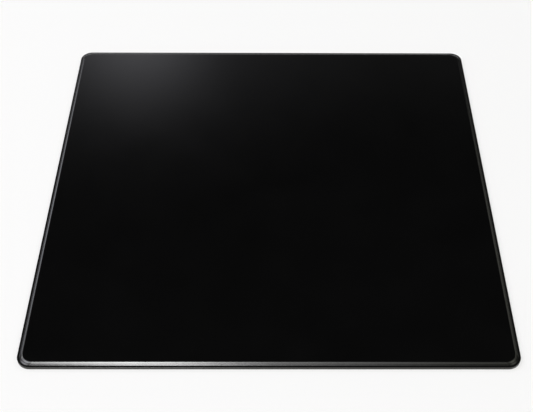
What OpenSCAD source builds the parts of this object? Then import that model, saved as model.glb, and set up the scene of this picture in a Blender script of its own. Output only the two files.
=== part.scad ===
// Self healing cutting mat: a flat five-ply laminate with round corners. The lower three plies are
// cut to the full outline. The upper two are bevelled back, which leaves a narrow flat ledge all
// round. Each ply is its own solid, and the plies meet face to face.

/* [Outline] */
// Width of the mat, left to right
mat_w = 305; // [150:1:600]
// Depth of the mat, front to back
mat_d = 305; // [150:1:450]
// Corner radius of the full outline
corner_r = 8.5; // [6:0.5:40]

/* [Plies] */
// Thickness of each of the three plies that are cut to the full outline
full_ply_t = 0.69; // [0.4:0.01:1]
// Thickness of each of the two bevelled plies
bevelled_ply_t = 0.565; // [0.3:0.005:1]

/* [Edge] */
// Width of the flat ledge outside the bevel
ledge_w = 1.15; // [0.3:0.05:2]
// Horizontal width of the bevel
bevel_w = 1.95; // [1:0.05:3]
// Corner radius of the work surface, inside the bevel
surface_corner_r = 7; // [3:0.5:20]

/* [Hidden] */

// Height of each ply's underside above the surface that the mat lies on, then the work surface
base_z = 0;
lower_middle_z = base_z + full_ply_t;
core_z = lower_middle_z + full_ply_t;
upper_middle_z = core_z + full_ply_t;
top_z = upper_middle_z + bevelled_ply_t;
work_surface_z = top_z + bevelled_ply_t;

// Corner radius of the bevel's foot, which runs parallel to the full outline
foot_corner_r = corner_r - ledge_w;

// Thickness of the corner discs that a bevelled ply is stretched over
disc_t = 0.01;

// How far up the bevel a height lies, from 0 at its foot to 1 at the work surface
function bevel_part(z) = (z - upper_middle_z) / (work_surface_z - upper_middle_z);

// Distance from the full outline to the bevel at a height
function bevel_inset(z) = ledge_w + bevel_w * bevel_part(z);

// Corner radius of the bevel at a height
function bevel_corner_r(z) =
    foot_corner_r + (surface_corner_r - foot_corner_r) * bevel_part(z);

// A rectangle with round corners, centred on the origin
module round_rect(w, d, r) {
    square([w - 2 * r, d], center = true);
    square([w, d - 2 * r], center = true);
    for (sx = [-1, 1], sy = [-1, 1])
        translate([sx * (w / 2 - r), sy * (d / 2 - r)])
            circle(r = r, $fn = 96);
}

// A ply that is cut to the full outline, from height z up
module full_ply(z) {
    translate([0, 0, z])
        linear_extrude(height = full_ply_t)
            round_rect(mat_w, mat_d, corner_r);
}

// Four discs in the corners of the bevel's outline at height z, with their undersides at disc_z
module corner_discs(z, disc_z) {
    r = bevel_corner_r(z);
    x = mat_w / 2 - bevel_inset(z) - r;
    y = mat_d / 2 - bevel_inset(z) - r;
    for (sx = [-1, 1], sy = [-1, 1])
        translate([sx * x, sy * y, disc_z])
            cylinder(h = disc_t, r = r, $fn = 48);
}

// A ply whose rim is a stretch of the bevel, from height z up
module bevelled_ply(z) {
    hull() {
        corner_discs(z, z);
        corner_discs(z + bevelled_ply_t, z + bevelled_ply_t - disc_t);
    }
}

// Bottom skin, the same self healing sheet as the top
module base_sheet() {
    color([0.10, 0.10, 0.10]) full_ply(base_z);
}

// Middle sheet below the core
module lower_middle_sheet() {
    color([0.13, 0.13, 0.13]) full_ply(lower_middle_z);
}

// Stiff core sheet, whose upper face shows as the ledge
module core_sheet() {
    color([0.15, 0.15, 0.15]) full_ply(core_z);
}

// Middle sheet above the core, the lower half of the bevel
module upper_middle_sheet() {
    color([0.13, 0.13, 0.13]) bevelled_ply(upper_middle_z);
}

// Top skin, the sheet that the knife cuts into and that closes up again
module top_sheet() {
    color([0.10, 0.10, 0.10]) bevelled_ply(top_z);
}

base_sheet();
lower_middle_sheet();
core_sheet();
upper_middle_sheet();
top_sheet();
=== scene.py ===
import math

import bmesh
import bpy
from mathutils import Matrix, Vector, noise


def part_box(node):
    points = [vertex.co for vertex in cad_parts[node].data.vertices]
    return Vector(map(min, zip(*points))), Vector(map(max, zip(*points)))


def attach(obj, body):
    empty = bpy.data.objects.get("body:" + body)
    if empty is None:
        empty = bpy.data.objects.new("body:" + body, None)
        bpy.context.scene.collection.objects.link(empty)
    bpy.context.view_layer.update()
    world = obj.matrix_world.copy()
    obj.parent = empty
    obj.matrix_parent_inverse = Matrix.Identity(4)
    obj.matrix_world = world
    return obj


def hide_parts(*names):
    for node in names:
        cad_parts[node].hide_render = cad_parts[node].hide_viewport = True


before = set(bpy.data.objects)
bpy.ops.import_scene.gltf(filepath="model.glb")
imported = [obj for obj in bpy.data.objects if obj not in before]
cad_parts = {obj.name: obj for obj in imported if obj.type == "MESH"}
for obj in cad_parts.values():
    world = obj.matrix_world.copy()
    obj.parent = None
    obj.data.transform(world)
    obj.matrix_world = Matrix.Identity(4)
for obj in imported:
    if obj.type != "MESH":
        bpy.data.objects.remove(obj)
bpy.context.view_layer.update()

MM = 0.001

# ---------------------------------------------------------------- sizes, from the CAD parts in model.glb

FULL_PLIES = ["base_sheet", "lower_middle_sheet", "core_sheet"]
BEVELLED_PLIES = ["upper_middle_sheet", "top_sheet"]

low_z = {name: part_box(name)[0].z for name in FULL_PLIES + BEVELLED_PLIES}
high_z = {name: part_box(name)[1].z for name in FULL_PLIES + BEVELLED_PLIES}
half_w, half_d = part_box("core_sheet")[1].xy
ledge_z = low_z["upper_middle_sheet"]
joint_z = low_z["top_sheet"]
surface_z = high_z["top_sheet"]

# Distances in from the full outline, of the bevel's foot, of the joint half-way up it, and of
# its head, where the work surface starts
foot_inset = half_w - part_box("upper_middle_sheet")[1].x
joint_inset = half_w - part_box("top_sheet")[1].x
head_inset = foot_inset + (joint_inset - foot_inset) * (surface_z - ledge_z) / (joint_z - ledge_z)

# Corner radii of the full outline, the bevel's foot and the work surface
OUTLINE_R = 8.5 * MM
FOOT_R = OUTLINE_R - foot_inset
SURFACE_R = 7.0 * MM

# ---------------------------------------------------------------- shape of the plies

# Material slots of every ply: its two flat faces, and its cut rim
FLAT, RIM = 0, 1

# Steps along each straight side, round each corner and round each arris
SIDE_STEPS = 36
CORNER_STEPS = 20
ARRIS_STEPS = 6

# Rounding of the arrises: where a ply meets the next, at the ledge's rim, at the foot on the
# bench, and where the bevel meets the work surface
JOINT_ARRIS = 0.06 * MM
LEDGE_ARRIS = 0.07 * MM
BENCH_ARRIS = 0.20 * MM
SURFACE_ARRIS = 1.1 * MM

# How far the joint half-way up the bevel stands proud, which crowns the bevel
BEVEL_CROWN = 0.14 * MM

# How far in each ply's flat faces start to be one plain face, and how much large faces count
# over narrow ones where the shading is smoothed, from 1 to 100
FLAT_INSET = 6 * MM
FLAT_FACE_WEIGHT = 100

# How far a cut edge wanders inside its line, and over what length. Plies that are cut in one
# stroke share a seed, so that their rims line up
CUT_WANDER = 0.035 * MM
WANDER_LENGTH = 40 * MM
OUTLINE_CUT_SEED = 1
BEVEL_CUT_SEED = 2


def outline(inset, corner_r):
    """(point, outward normal) pairs round the mat, anticlockwise from above."""
    x = half_w - inset - corner_r
    y = half_d - inset - corner_r
    centres = [Vector((x, -y)), Vector((x, y)), Vector((-x, y)), Vector((-x, -y))]
    line = []
    for quarter, centre in enumerate(centres):
        for step in range(CORNER_STEPS + 1):
            angle = math.radians(90) * (quarter - 1 + step / CORNER_STEPS)
            normal = Vector((math.cos(angle), math.sin(angle)))
            line.append((centre + normal * corner_r, normal))
        next_centre = centres[(quarter + 1) % len(centres)]
        for step in range(1, SIDE_STEPS):
            line.append((centre.lerp(next_centre, step / SIDE_STEPS) + normal * corner_r, normal))
    return line


def ring(inset, corner_r, z, seed):
    """Points of one closed line round the mat. The cut edge wanders in a little, never out."""
    points = []
    for place, normal in outline(inset, corner_r):
        wave = noise.noise(Vector((place.x / WANDER_LENGTH, place.y / WANDER_LENGTH, seed)))
        place = place - normal * CUT_WANDER * (0.5 + 0.5 * wave)
        points.append(Vector((place.x, place.y, z)))
    return points


def bevel_corner_r(inset, z):
    """Corner radius of a line round a bevelled ply, at a height and a distance in."""
    part = (z - ledge_z) / (surface_z - ledge_z)
    straight_inset = foot_inset + (head_inset - foot_inset) * part
    return FOOT_R + (SURFACE_R - FOOT_R) * part + straight_inset - inset


def full_corner_r(inset, z):
    """Corner radius of a line round a ply that is cut to the full outline, the same at any height."""
    return OUTLINE_R - inset


def rounded_section(corners, low, high):
    """(inset, z, arris) points of a ply's section, from its underside out and back to its upper
    face. corners holds (inset, z, radius); arris is 1 in the middle of a rounded arris and 0 off it."""
    path = [Vector((FLAT_INSET, low))]
    path += [Vector(corner[:2]) for corner in corners]
    path += [Vector((FLAT_INSET, high))]
    section = [(FLAT_INSET, low, 0.0)]
    for before, here, after, (inset, z, radius) in zip(path, path[1:], path[2:], corners):
        back = (before - here).normalized()
        ahead = (after - here).normalized()
        opening = back.angle(ahead)
        centre = here + (back + ahead).normalized() * radius / math.sin(opening / 2)
        start = here + back * radius / math.tan(opening / 2) - centre
        end = here + ahead * radius / math.tan(opening / 2) - centre
        turn = math.pi - opening
        for step in range(ARRIS_STEPS + 1):
            part = step / ARRIS_STEPS
            spoke = (start * math.sin((1 - part) * turn) + end * math.sin(part * turn)) / math.sin(turn)
            place = centre + spoke
            section.append((place.x, place.y, math.sin(math.pi * part)))
    section.append((FLAT_INSET, high, 0.0))
    return section


def sweep(name, section, corner_r, seed):
    """A closed piece: a section swept round the mat, with its two flat faces filled."""
    made = bmesh.new()
    arris_layer = made.verts.layers.float.new("arris")
    rings = []
    for inset, z, arris in section:
        verts = [made.verts.new(p) for p in ring(inset, corner_r(inset, z), z, seed)]
        for vert in verts:
            vert[arris_layer] = arris
        rings.append(verts)
    count = len(rings[0])
    flat_bands = (0, len(rings) - 2)
    for band, (lower, upper) in enumerate(zip(rings, rings[1:])):
        for i in range(count):
            face = made.faces.new((lower[i], lower[(i + 1) % count], upper[(i + 1) % count], upper[i]))
            face.material_index = FLAT if band in flat_bands else RIM
    made.faces.new(list(reversed(rings[0])))
    made.faces.new(rings[-1])
    for face in made.faces:
        face.smooth = True
    mesh = bpy.data.meshes.new(name)
    made.to_mesh(mesh)
    made.free()
    piece = bpy.data.objects.new(name, mesh)
    bpy.context.scene.collection.objects.link(piece)
    weighted = piece.modifiers.new("flat_faces_shade_flat", "WEIGHTED_NORMAL")
    weighted.mode = "FACE_AREA"
    weighted.weight = FLAT_FACE_WEIGHT
    return piece


def make_ply(node, corners, corner_r, seed, flat_material, rim_material):
    """The detailed ply that stands for a CAD node."""
    section = rounded_section(corners, low_z[node], high_z[node])
    piece = sweep(node + "_ply", section, corner_r, seed)
    piece.data.materials.append(flat_material)
    piece.data.materials.append(rim_material)
    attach(piece, "root")
    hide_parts(node)


# ---------------------------------------------------------------- materials

NEUTRAL = (1.0, 1.0, 1.0)

PVC_IOR = 1.53

# Base colour of a fully worn arris, which is paler than any face
WORN_TONE = 0.014

# Specular level of plain PVC, and of a finely grained face, which shines less
PLAIN_GLOSS = 0.5
GRAINED_GLOSS = 0.12

CUT_LINE_HEIGHT = 0.0006 * MM
CUT_RIPPLE_HEIGHT = 0.004 * MM

# The upright cut is a little greyer and warmer than the skins and the bevel
WALL_TINT = (1.0, 0.95, 0.70)
WALL_TONE = 0.0115

# Nearly all of Blender's fractal noise lies between these two values
NOISE_LOW, NOISE_HIGH = 0.3, 0.7
NOISE_ROUGHNESS = 0.55

# The grain's pebbles: how softly they join, and the height of the fine noise on them as a part
# of their own
PEBBLE_SMOOTHNESS = 0.7
FINE_GRAIN_PART = 0.2


def new_material(name, ior):
    material = bpy.data.materials.new(name)
    material.use_nodes = True
    shader = material.node_tree.nodes["Principled BSDF"]
    shader.inputs["IOR"].default_value = ior
    return material, material.node_tree, shader


def add_node(tree, kind, inputs, **settings):
    """Adds a node. An input is a number, a vector or another node's output."""
    made = tree.nodes.new(kind)
    for key, value in settings.items():
        setattr(made, key, value)
    for key, value in inputs.items():
        if isinstance(value, bpy.types.NodeSocket):
            tree.links.new(value, made.inputs[key])
        else:
            made.inputs[key].default_value = value
    return made


def maths(tree, operation, first, second=0.0):
    return add_node(tree, "ShaderNodeMath", {0: first, 1: second}, operation=operation).outputs[0]


def millimetres(tree, stretch=(1, 1, 1)):
    """The object's own coordinates in millimetres. A larger stretch makes a pattern longer that way."""
    coordinates = tree.nodes.new("ShaderNodeTexCoord").outputs["Object"]
    scale = [1 / MM / part for part in stretch]
    return add_node(tree, "ShaderNodeMapping", {"Vector": coordinates, "Scale": scale}).outputs[0]


def cloud(tree, place, size_mm, low, high, detail=3.0):
    """Soft noise with patches of a size, as numbers from low to high."""
    patches = add_node(tree, "ShaderNodeTexNoise",
                       {"Vector": place, "Scale": 1 / size_mm, "Detail": detail,
                        "Roughness": NOISE_ROUGHNESS})
    return add_node(tree, "ShaderNodeMapRange",
                    {"Value": patches.outputs["Fac"], "From Min": NOISE_LOW, "From Max": NOISE_HIGH,
                     "To Min": low, "To Max": high}).outputs[0]


def pebbles(tree, place, size_mm, height_mm):
    """The grain of calendered PVC: low round pebbles, as a height in metres."""
    cells = add_node(tree, "ShaderNodeTexVoronoi",
                     {"Vector": place, "Scale": 1 / size_mm, "Smoothness": PEBBLE_SMOOTHNESS},
                     feature="SMOOTH_F1")
    return maths(tree, "MULTIPLY", cells.outputs["Distance"], -height_mm * MM)


def wear(tree, place):
    """How worn a rounded arris is, from 0 to 1, in patches along the rim."""
    arris = add_node(tree, "ShaderNodeAttribute", {}, attribute_name="arris").outputs["Fac"]
    return maths(tree, "MULTIPLY", arris, cloud(tree, place, size_mm=7.0, low=0.1, high=1.0))


def finish_surface(tree, shader, tint, tone, roughness, height, worn):
    """Joins a surface's tone, wear, roughness and height to its shader."""
    grey = add_node(tree, "ShaderNodeMapRange",
                    {"Value": worn, "To Min": tone, "To Max": WORN_TONE}).outputs[0]
    colour = add_node(tree, "ShaderNodeVectorMath", {0: tint, "Scale": grey}, operation="SCALE")
    tree.links.new(colour.outputs[0], shader.inputs["Base Color"])
    tree.links.new(roughness, shader.inputs["Roughness"])
    bump = add_node(tree, "ShaderNodeBump", {"Height": height, "Distance": 1.0})
    tree.links.new(bump.outputs[0], shader.inputs["Normal"])


def skin_pvc(name, tone, roughness, grain_mm, grain_height_mm, gloss=PLAIN_GLOSS):
    """A calendered sheet's face: fine pebbles, cloudy patches and faint streaks along the roll."""
    material, tree, shader = new_material(name, PVC_IOR)
    place = millimetres(tree)
    along_roll = millimetres(tree, stretch=(1, 18, 1))
    shader.inputs["Specular IOR Level"].default_value = gloss
    patches = cloud(tree, place, size_mm=38.0, low=0.87, high=1.13, detail=4.0)
    specks = cloud(tree, place, size_mm=1.6, low=0.9, high=1.1)
    varied_tone = maths(tree, "MULTIPLY", maths(tree, "MULTIPLY", patches, specks), tone)
    smears = cloud(tree, place, size_mm=24.0, low=-0.012, high=0.016, detail=5.0)
    streaks = cloud(tree, along_roll, size_mm=2.4, low=-0.006, high=0.008)
    varied_roughness = maths(tree, "ADD", maths(tree, "ADD", smears, streaks), roughness)
    fine_grain = cloud(tree, place, size_mm=grain_mm / 2, low=-1.0, high=1.0)
    height = maths(tree, "ADD", pebbles(tree, place, grain_mm, grain_height_mm),
                   maths(tree, "MULTIPLY", fine_grain, grain_height_mm * FINE_GRAIN_PART * MM))
    finish_surface(tree, shader, NEUTRAL, varied_tone, varied_roughness, height, wear(tree, place))
    return material


def cut_pvc(name, tint, tone, roughness):
    """A die-cut edge: fine lines down the cut, a slow ripple along it, and patchy gloss."""
    material, tree, shader = new_material(name, PVC_IOR)
    place = millimetres(tree)
    down_cut = millimetres(tree, stretch=(1, 1, 14))
    varied_tone = maths(tree, "MULTIPLY", cloud(tree, down_cut, size_mm=0.5, low=0.75, high=1.3), tone)
    varied_roughness = maths(tree, "ADD", cloud(tree, place, size_mm=5.0, low=-0.015, high=0.02),
                             roughness)
    lines = cloud(tree, down_cut, size_mm=0.22, low=-CUT_LINE_HEIGHT, high=CUT_LINE_HEIGHT)
    ripple = cloud(tree, place, size_mm=6.0, low=-CUT_RIPPLE_HEIGHT, high=CUT_RIPPLE_HEIGHT, detail=1.0)
    height = maths(tree, "ADD", lines, ripple)
    finish_surface(tree, shader, tint, varied_tone, varied_roughness, height, wear(tree, place))
    return material


top_skin = skin_pvc("top_skin_pvc", tone=0.0020, roughness=0.125, grain_mm=0.55,
                    grain_height_mm=0.0032, gloss=GRAINED_GLOSS)
top_edge = cut_pvc("top_skin_cut_edge", NEUTRAL, tone=0.0026, roughness=0.14)
middle_face = skin_pvc("middle_pvc", tone=0.0026, roughness=0.20, grain_mm=0.7, grain_height_mm=0.002)
bevel_edge = cut_pvc("middle_pvc_bevel_edge", NEUTRAL, tone=0.0028, roughness=0.14)
middle_edge = cut_pvc("middle_pvc_cut_edge", WALL_TINT, WALL_TONE, roughness=0.15)
core_face = skin_pvc("core_pvc", tone=0.0028, roughness=0.22, grain_mm=0.35, grain_height_mm=0.001,
                     gloss=GRAINED_GLOSS)
core_edge = cut_pvc("core_pvc_cut_edge", WALL_TINT, WALL_TONE, roughness=0.16)
base_skin = skin_pvc("base_skin_pvc", tone=0.0028, roughness=0.38, grain_mm=0.9, grain_height_mm=0.012)
base_edge = cut_pvc("base_skin_cut_edge", WALL_TINT, WALL_TONE, roughness=0.15)

# ---------------------------------------------------------------- the plies

# Each ply's rim runs from its underside to its upper face through two arrises, which are given
# as (inset, height, radius)
make_ply("base_sheet",
         [(0, low_z["base_sheet"], BENCH_ARRIS), (0, high_z["base_sheet"], JOINT_ARRIS)],
         full_corner_r, OUTLINE_CUT_SEED, base_skin, base_edge)
make_ply("lower_middle_sheet",
         [(0, low_z["lower_middle_sheet"], JOINT_ARRIS), (0, high_z["lower_middle_sheet"], JOINT_ARRIS)],
         full_corner_r, OUTLINE_CUT_SEED, middle_face, middle_edge)
make_ply("core_sheet",
         [(0, low_z["core_sheet"], JOINT_ARRIS), (0, ledge_z, LEDGE_ARRIS)],
         full_corner_r, OUTLINE_CUT_SEED, core_face, core_edge)
proud = joint_inset - BEVEL_CROWN
make_ply("upper_middle_sheet",
         [(foot_inset, ledge_z, JOINT_ARRIS), (proud, joint_z, JOINT_ARRIS)],
         bevel_corner_r, BEVEL_CUT_SEED, middle_face, bevel_edge)
make_ply("top_sheet",
         [(proud, joint_z, JOINT_ARRIS), (head_inset, surface_z, SURFACE_ARRIS)],
         bevel_corner_r, BEVEL_CUT_SEED, top_skin, top_edge)

# ---------------------------------------------------------------- floor

# The floor is a pale light table: part of its light comes from under it, so shadows stay faint.
# It lies a hair under the mat's flat underside, so that the two faces don't coincide, and it is
# clear from below, so that the underside can be looked at
FLOOR_TONE = 0.26
FLOOR_ROUGHNESS = 0.9
FLOOR_IOR = 1.45
FLOOR_GLOW = 0.603
FLOOR_GLOW_COLOUR = (1.0, 0.994, 0.988, 1)
FLOOR_REACH = 20.0
FLOOR_GAP = 0.03 * MM


def floor_finish():
    """Matt and softly glowing from above, clear from below."""
    material, tree, shader = new_material("floor", FLOOR_IOR)
    shader.inputs["Base Color"].default_value = (FLOOR_TONE, FLOOR_TONE, FLOOR_TONE, 1)
    shader.inputs["Roughness"].default_value = FLOOR_ROUGHNESS
    shader.inputs["Specular IOR Level"].default_value = 0.0
    shader.inputs["Emission Color"].default_value = FLOOR_GLOW_COLOUR
    shader.inputs["Emission Strength"].default_value = FLOOR_GLOW
    from_below = tree.nodes.new("ShaderNodeNewGeometry").outputs["Backfacing"]
    clear = tree.nodes.new("ShaderNodeBsdfTransparent").outputs[0]
    one_sided = add_node(tree, "ShaderNodeMixShader", {0: from_below, 1: shader.outputs[0], 2: clear})
    tree.links.new(one_sided.outputs[0], tree.nodes["Material Output"].inputs["Surface"])
    return material


floor_mesh = bpy.data.meshes.new("floor")
floor_signs = [(-1, -1), (1, -1), (1, 1), (-1, 1)]
floor_corners = [(x * FLOOR_REACH, y * FLOOR_REACH, -FLOOR_GAP) for x, y in floor_signs]
floor_mesh.from_pydata(floor_corners, [], [(0, 1, 2, 3)])
floor_mesh.materials.append(floor_finish())
floor = bpy.data.objects.new("floor", floor_mesh)
bpy.context.scene.collection.objects.link(floor)

# ---------------------------------------------------------------- light

MAT = (0, 0, 0)
COOL = (1.0, 1.0, 1.07)
WARM = (1.0, 1.01, 0.86)

# The two strips overhead have one length and are centred on one line in front of the mat, and
# the lights behind the mat stand in one plane
KEY_Y = -0.79
KEY_LENGTH = 3.08
REAR_Y = 2.11

# How far from the mat the lights round it stand, and the low ones among them
AROUND = 2.3
AROUND_LOW = 2.4


def seen_from_mat(azimuth, elevation, distance=AROUND):
    """A place in the studio. azimuth runs clockwise from the back of the mat, in degrees."""
    turn, rise = math.radians(azimuth), math.radians(elevation)
    return distance * Vector((math.sin(turn) * math.cos(rise), math.cos(turn) * math.cos(rise),
                              math.sin(rise)))


def softbox(name, place, size, radiance, colour, target=MAT, edges=(2.0, 2.0), lights_floor=True):
    """An area light, size wide and high, that faces its target. It is brightest in its middle and
    fades to its rim as a power of a sine. edges holds the powers across it and up it, where 0 is
    no fading. One that doesn't light the floor shows only in the gloss."""
    width, height = size
    data = bpy.data.lights.new(name, "AREA")
    data.shape = "RECTANGLE"
    data.size = width
    data.size_y = height
    data.energy = radiance * math.pi * width * height
    data.color = colour
    data.use_nodes = True
    tree = data.node_tree
    on_lamp = tree.nodes.new("ShaderNodeNewGeometry").outputs["Parametric"]
    parts = add_node(tree, "ShaderNodeSeparateXYZ", {"Vector": on_lamp})
    fades = []
    for axis, edge in zip("XY", edges):
        wave = maths(tree, "SINE", maths(tree, "MULTIPLY", parts.outputs[axis], math.pi))
        fades.append(maths(tree, "POWER", wave, edge))
    tree.links.new(maths(tree, "MULTIPLY", *fades), tree.nodes["Emission"].inputs["Strength"])
    light = bpy.data.objects.new(name, data)
    bpy.context.scene.collection.objects.link(light)
    light.location = place
    light.rotation_euler = (Vector(target) - Vector(place)).to_track_quat("-Z", "Y").to_euler()
    light.visible_camera = False
    light.visible_diffuse = lights_floor


# Overhead, which lights the bevel and its head
softbox("key_strip", (-0.42, KEY_Y, 2.2), (0.74, KEY_LENGTH), 19.4, NEUTRAL,
        target=(-0.42, KEY_Y, 0), edges=(2.0, 0.4), lights_floor=False)
softbox("key_halo", (-0.36, KEY_Y, 2.25), (2.1, KEY_LENGTH), 3.8, NEUTRAL,
        target=(-0.36, KEY_Y, 0), edges=(2.0, 0.4), lights_floor=False)

# Left, the bright side
softbox("left_high", seen_from_mat(-97, 55), (2.4, 1.9), 6.2, COOL)
softbox("left_front", seen_from_mat(-125, 58), (1.5, 1.3), 2.4, NEUTRAL)
softbox("left_side", seen_from_mat(-92, 37), (1.4, 1.1), 1.7, COOL)
softbox("left_middle", seen_from_mat(-64, 38), (1.3, 1.2), 6.0, NEUTRAL)
softbox("left_low", seen_from_mat(-52, 13, AROUND_LOW), (2.0, 1.1), 2.4, COOL, lights_floor=False)

# Behind, which makes the soft glow at the back of the work surface
softbox("rear_glow", (-0.44, REAR_Y, 1.28), (0.77, 0.86), 3.0, COOL,
        edges=(3.5, 1.5), lights_floor=False)
softbox("rear_glow_halo", (-0.46, REAR_Y, 1.10), (2.6, 1.5), 0.85, COOL,
        edges=(3.5, 1.5), lights_floor=False)
softbox("rear_wall", (0.60, REAR_Y, 1.28), (1.8, 1.0), 0.17, NEUTRAL,
        edges=(2.0, 1.5), lights_floor=False)

# Right, the dim side
softbox("right_high", seen_from_mat(97, 52), (2.4, 1.7), 1.25, WARM)
softbox("right_middle", seen_from_mat(55, 36), (2.0, 1.3), 1.0, WARM)
softbox("right_low", seen_from_mat(55, 12, AROUND_LOW), (1.6, 1.0), 0.65, WARM, lights_floor=False)

# In front, which lights the upright wall
softbox("front_right", seen_from_mat(150, 62), (1.6, 1.6), 0.7, WARM)
softbox("front_fill", seen_from_mat(178, 36), (1.4, 1.6), 2.0, NEUTRAL)

# A pale room lights the floor evenly, and doesn't show in the mat's gloss
ROOM_LIGHT = 0.76
room = bpy.data.worlds.new("room")
bpy.context.scene.world = room
room.use_nodes = True
room.node_tree.nodes["Background"].inputs["Color"].default_value = (*NEUTRAL, 1)
room.node_tree.nodes["Background"].inputs["Strength"].default_value = ROOM_LIGHT
room.cycles_visibility.glossy = False

bpy.context.scene.view_settings.view_transform = "Standard"

# ---------------------------------------------------------------- camera

SENSOR_W = 36.0
FOCAL_LENGTH = 68.17
CAMERA_SHIFT_X = -0.0324

# Where the camera stands, and in degrees how far it is turned to the right of straight ahead,
# tipped down from level, and rolled anticlockwise as seen from behind it
CAMERA_PLACE = (0.00426, -0.50043, 0.50666)
TURNED_RIGHT = 0.591
TIPPED_DOWN = 46.319
ROLLED = 0.513

camera_data = bpy.data.cameras.new("camera")
camera = bpy.data.objects.new("camera", camera_data)
bpy.context.scene.collection.objects.link(camera)
camera_data.sensor_width = SENSOR_W
camera_data.lens = FOCAL_LENGTH
camera_data.shift_x = CAMERA_SHIFT_X
camera.matrix_world = (
    Matrix.Translation(CAMERA_PLACE)
    @ Matrix.Rotation(math.radians(-TURNED_RIGHT), 4, "Z")
    @ Matrix.Rotation(math.radians(90 - TIPPED_DOWN), 4, "X")
    @ Matrix.Rotation(math.radians(ROLLED), 4, "Z"))
bpy.context.scene.camera = camera
